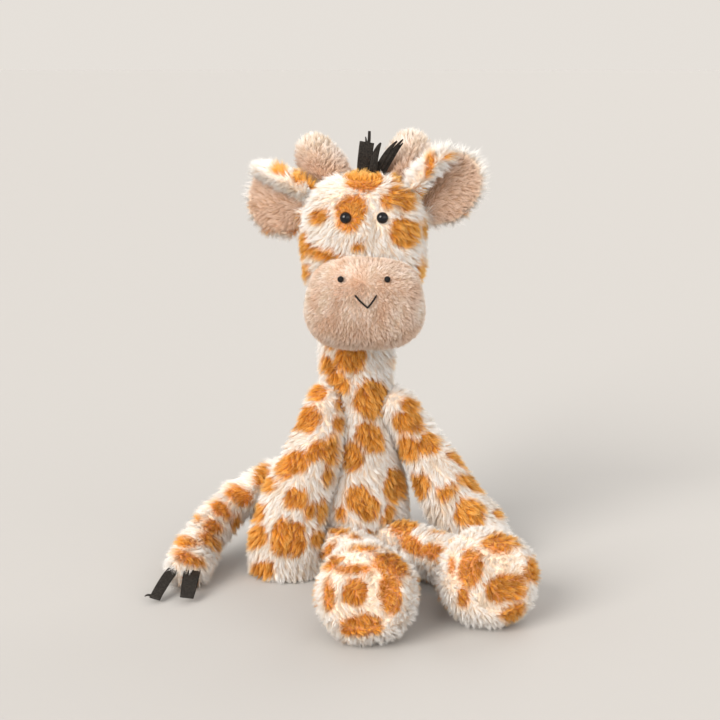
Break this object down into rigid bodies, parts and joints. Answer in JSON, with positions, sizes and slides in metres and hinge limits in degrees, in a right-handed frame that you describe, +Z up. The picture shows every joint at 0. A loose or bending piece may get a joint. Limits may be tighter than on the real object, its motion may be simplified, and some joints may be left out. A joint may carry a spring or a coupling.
{
  "type": "plush giraffe",
  "caption": "Seated plush giraffe with long arms and legs, round feet, floppy ears, two soft horns, a beige muzzle and a curved tail with ribbon ends.",
  "frame": {"origin": "middle of the sewn panel that the toy sits on, on the seat plane", "axes": "+Z up, -Y the way the toy faces, +X its right side as seen from the front"},
  "size_m": [0.2227, 0.1906, 0.2668],
  "materials": {
    "patterned_plush": "long pile plush, orange patches on cream",
    "tail_plush": "long pile plush, orange bands on cream",
    "beige_plush": "short pile plush",
    "black_ribbon": "woven satin ribbon",
    "black_plastic": "glossy",
    "black_thread": "embroidery thread",
    "white_nylon": "moulded",
    "pouch_cloth": "plain cotton, filled with beans"
  },
  "bodies": {
    "trunk": {"torso": "patterned_plush", "seat_panel": "patterned_plush", "bean_pouch": "pouch_cloth"},
    "head": {"head_crown": "patterned_plush", "muzzle": "beige_plush", "eye_left": "black_plastic", "eye_right": "black_plastic", "eye_washer_left": "white_nylon", "eye_washer_right": "white_nylon", "nostril_left": "black_thread", "nostril_right": "black_thread", "smile_stitch": "black_thread", "horn_left": "beige_plush", "horn_right": "beige_plush", "forelock_ribbon_left": "black_ribbon", "forelock_ribbon_right": "black_ribbon"},
    "ear_left": {"ear_back_left": "patterned_plush", "ear_lining_left": "beige_plush"},
    "ear_right": {"ear_back_right": "patterned_plush", "ear_lining_right": "beige_plush"},
    "arm_left": {"arm_left": "patterned_plush", "arm_pad_left": "patterned_plush"},
    "arm_right": {"arm_right": "patterned_plush", "arm_pad_right": "patterned_plush"},
    "leg_left": {"leg_left": "patterned_plush", "sole_left": "patterned_plush"},
    "leg_right": {"leg_right": "patterned_plush", "sole_right": "patterned_plush"},
    "tail": {"tail": "tail_plush", "tail_ribbon_left": "black_ribbon", "tail_ribbon_right": "black_ribbon"}
  },
  "joints": [
    {"name": "head_nod", "type": "hinge", "parent": "trunk", "child": "head", "pos_m": [0, 0, 0.16], "axis": [1, 0, 0], "range_deg": [-12, 25], "stiffness_Nm_per_rad": 0.6},
    {"name": "ear_left_flop", "type": "hinge", "parent": "head", "child": "ear_left", "pos_m": [-0.03019, -0.004, 0.2185], "axis": [0, 1, 0], "range_deg": [-30, 5], "stiffness_Nm_per_rad": 0.03},
    {"name": "ear_right_flop", "type": "hinge", "parent": "head", "child": "ear_right", "pos_m": [0.03919, -0.004, 0.2185], "axis": [0, -1, 0], "range_deg": [-30, 5], "stiffness_Nm_per_rad": 0.03},
    {"name": "arm_left_raise", "type": "hinge", "parent": "trunk", "child": "arm_left", "pos_m": [-0.018, -0.014, 0.105], "axis": [-1, 0, 0], "range_deg": [0, 80]},
    {"name": "arm_right_raise", "type": "hinge", "parent": "trunk", "child": "arm_right", "pos_m": [0.0245, -0.008, 0.101], "axis": [0, -1, 0], "range_deg": [0, 80]},
    {"name": "leg_left_swing", "type": "hinge", "parent": "trunk", "child": "leg_left", "pos_m": [-0.0103, -0.029, 0.0162], "axis": [-1, 0, 0], "range_deg": [-45, 25]},
    {"name": "leg_right_swing", "type": "hinge", "parent": "trunk", "child": "leg_right", "pos_m": [0.019, -0.021, 0.0162], "axis": [-1, 0, 0], "range_deg": [-45, 25]},
    {"name": "tail_swing", "type": "hinge", "parent": "trunk", "child": "tail", "pos_m": [-0.0108, 0.027, 0.046], "axis": [0, 0, -1], "range_deg": [0, 90]}
  ]
}
